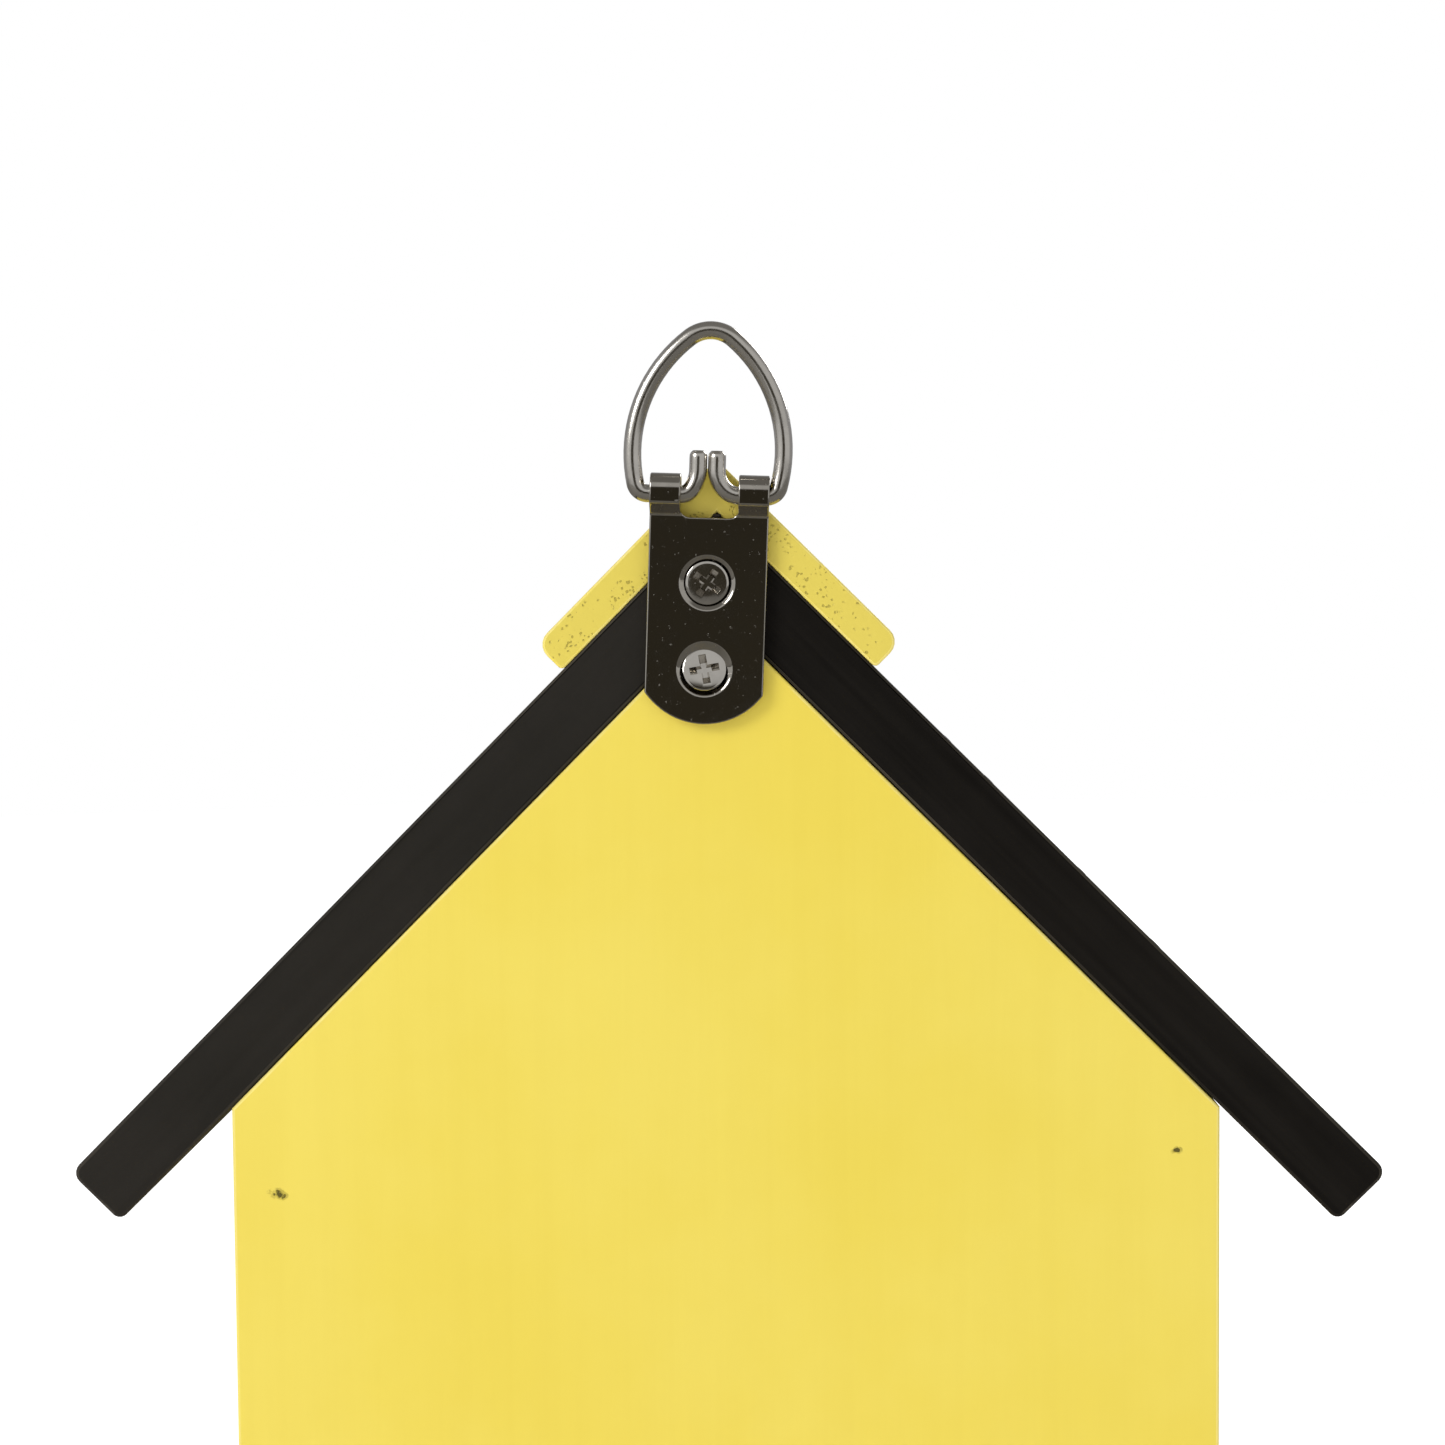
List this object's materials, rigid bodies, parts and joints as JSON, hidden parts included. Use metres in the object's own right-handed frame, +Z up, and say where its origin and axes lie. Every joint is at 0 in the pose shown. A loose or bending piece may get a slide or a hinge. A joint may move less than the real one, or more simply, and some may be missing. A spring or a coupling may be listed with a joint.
{
  "type": "pheromone insect trap",
  "caption": "House-shaped wooden insect trap with a gabled roof, ridge cap, round front opening, pull-out sticky tray, hanging lure and a folding D-ring hanger on the back.",
  "frame": {"origin": "middle of the floor board's underside, which the trap stands on", "axes": "+Z up; the round opening and the tray face -Y; the back with its hanger faces +Y; +X is the left hand side seen from behind"},
  "size_m": [0.1792, 0.1194, 0.2014],
  "materials": {
    "yellow_paint": "satin painted",
    "black_paint": "matte painted",
    "bare_plywood": "bare, sanded",
    "sticky_card": "glue coated",
    "dark_nickel": "bright nickel plate",
    "nickel_wire": "satin nickel plate",
    "screw_nickel": "nickel plate",
    "brad_steel": "bare steel",
    "lure_wire": "zinc plate",
    "lure_rubber": "matte"
  },
  "bodies": {
    "house": {"back_panel": "yellow_paint", "front_panel": "yellow_paint", "side_wall_left": "yellow_paint", "side_wall_right": "yellow_paint", "floor_board": "yellow_paint", "roof_board_left": "black_paint", "roof_board_right": "black_paint", "ridge_cap": "yellow_paint", "brad_back_left_top": "brad_steel", "brad_back_right_top": "brad_steel", "brad_back_left_foot": "brad_steel", "brad_back_right_foot": "brad_steel", "brad_front_left_top": "brad_steel", "brad_front_right_top": "brad_steel", "brad_front_left_foot": "brad_steel", "brad_front_right_foot": "brad_steel", "brad_floor_left_rear": "brad_steel", "brad_floor_left_front": "brad_steel", "brad_floor_right_rear": "brad_steel", "brad_floor_right_front": "brad_steel", "brad_roof_left_rear_1": "brad_steel", "brad_roof_left_rear_2": "brad_steel", "brad_roof_left_front_1": "brad_steel", "brad_roof_left_front_2": "brad_steel", "brad_roof_right_rear_1": "brad_steel", "brad_roof_right_rear_2": "brad_steel", "brad_roof_right_front_1": "brad_steel", "brad_roof_right_front_2": "brad_steel", "brad_cap_left_rear": "brad_steel", "brad_cap_left_front": "brad_steel", "brad_cap_right_rear": "brad_steel", "brad_cap_right_front": "brad_steel", "hanger_strap": "dark_nickel", "hanger_screw_upper": "screw_nickel", "hanger_screw_lower": "screw_nickel", "lure_eye": "lure_wire"},
    "ring": {"d_ring": "nickel_wire"},
    "tray": {"tray_base": "bare_plywood", "tray_front": "yellow_paint", "tray_rail_left": "bare_plywood", "tray_rail_right": "bare_plywood", "sticky_card": "sticky_card", "tray_knob": "black_paint", "tray_knob_screw": "brad_steel"},
    "lure": {"lure_pin": "lure_wire", "lure_septum": "lure_rubber"}
  },
  "joints": [
    {"name": "ring_fold", "type": "hinge", "parent": "house", "child": "ring", "pos_m": [0.0009, 0.04975, 0.17813], "axis": [-0.9992, 0, -0.0401], "range_deg": [-8, 145]},
    {"name": "tray_pull", "type": "slide", "parent": "house", "child": "tray", "axis": [0, -1, 0], "range_m": [0, 0.07]},
    {"name": "lure_swing", "type": "hinge", "parent": "house", "child": "lure", "pos_m": [0, 0, 0.1505], "axis": [1, 0, 0], "range_deg": [-35, 35]}
  ]
}
